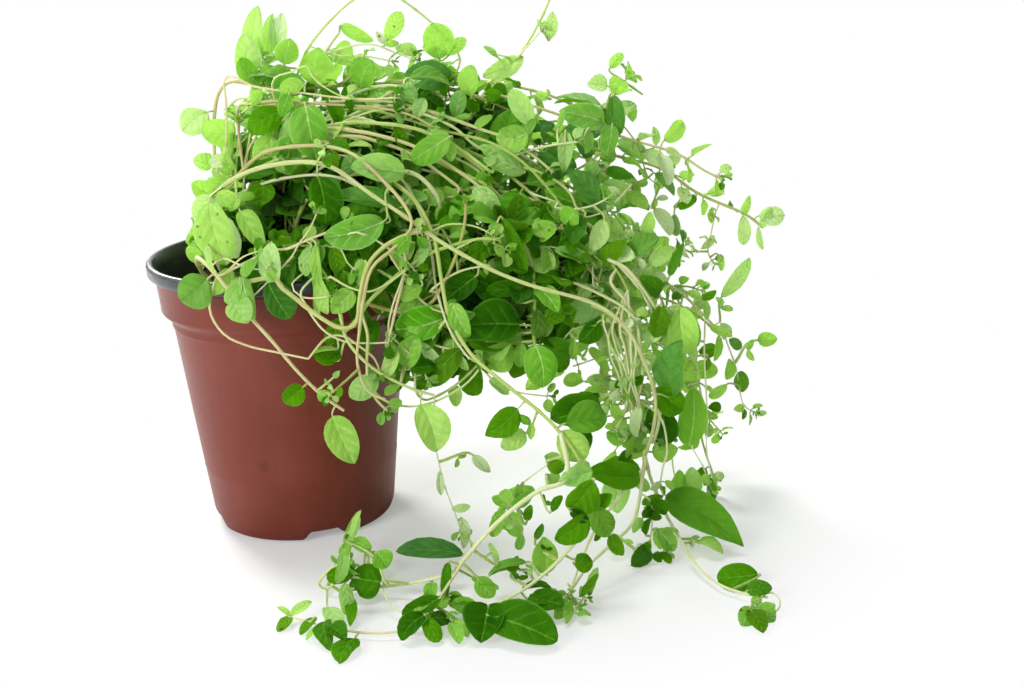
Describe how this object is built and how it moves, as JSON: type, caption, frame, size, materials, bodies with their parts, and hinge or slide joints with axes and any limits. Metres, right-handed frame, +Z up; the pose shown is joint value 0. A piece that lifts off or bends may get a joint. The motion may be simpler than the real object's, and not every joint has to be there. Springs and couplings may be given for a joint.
{
  "type": "potted oregano",
  "caption": "bushy trailing herb growing in a round nursery pot of soil, with arching stems that lean over the rim and lie on the surface in front",
  "frame": {"origin": "centre of the pot's underside, on the surface that it stands on", "axes": "+Z up; +X to the right seen from the front, the side that most stems lean to; the front faces -Y"},
  "size_m": [0.282, 0.2405, 0.2306],
  "materials": {
    "pot": "satin",
    "soil": "matte",
    "pale_stem": "satin",
    "pink_stem": "satin",
    "bright_leaf": "satin",
    "dark_leaf": "satin",
    "pale_leaf": "matte"
  },
  "bodies": {
    "root": {"pot": "pot", "soil": "soil", "stem_01": "pale_stem", "stem_02": "pink_stem", "stem_03": "pale_stem", "stem_04": "pale_stem", "stem_05": "pale_stem", "stem_06": "pale_stem", "stem_07": "pink_stem", "stem_08": "pink_stem", "stem_09": "pale_stem", "stem_10": "pale_stem", "stem_11": "pale_stem", "stem_12": "pale_stem", "stem_13": "pale_stem", "stem_14": "pale_stem", "stem_15": "pink_stem", "stem_16": "pale_stem", "stem_17": "pink_stem", "stem_18": "pink_stem", "stem_19": "pale_stem", "stem_20": "pale_stem", "stem_21": "pale_stem", "stem_22": "pale_stem", "stem_23": "pink_stem", "stem_24": "pale_stem", "leaf_01": "bright_leaf", "leaf_02": "bright_leaf", "leaf_03": "bright_leaf", "leaf_04": "pale_leaf", "leaf_05": "bright_leaf", "leaf_06": "dark_leaf", "leaf_07": "pale_leaf", "leaf_08": "pale_leaf", "leaf_09": "pale_leaf", "leaf_10": "dark_leaf", "leaf_11": "pale_leaf", "leaf_12": "bright_leaf", "leaf_13": "dark_leaf", "leaf_14": "dark_leaf", "leaf_15": "pale_leaf", "leaf_16": "dark_leaf", "leaf_17": "bright_leaf", "leaf_18": "dark_leaf", "leaf_19": "dark_leaf", "leaf_20": "dark_leaf", "leaf_21": "bright_leaf", "leaf_22": "dark_leaf", "leaf_23": "bright_leaf", "leaf_24": "bright_leaf", "leaf_25": "dark_leaf", "leaf_26": "bright_leaf", "leaf_27": "dark_leaf", "leaf_28": "dark_leaf", "leaf_29": "dark_leaf", "leaf_30": "dark_leaf", "leaf_31": "bright_leaf", "leaf_32": "pale_leaf", "leaf_33": "dark_leaf", "leaf_34": "dark_leaf"}
  },
  "joints": []
}
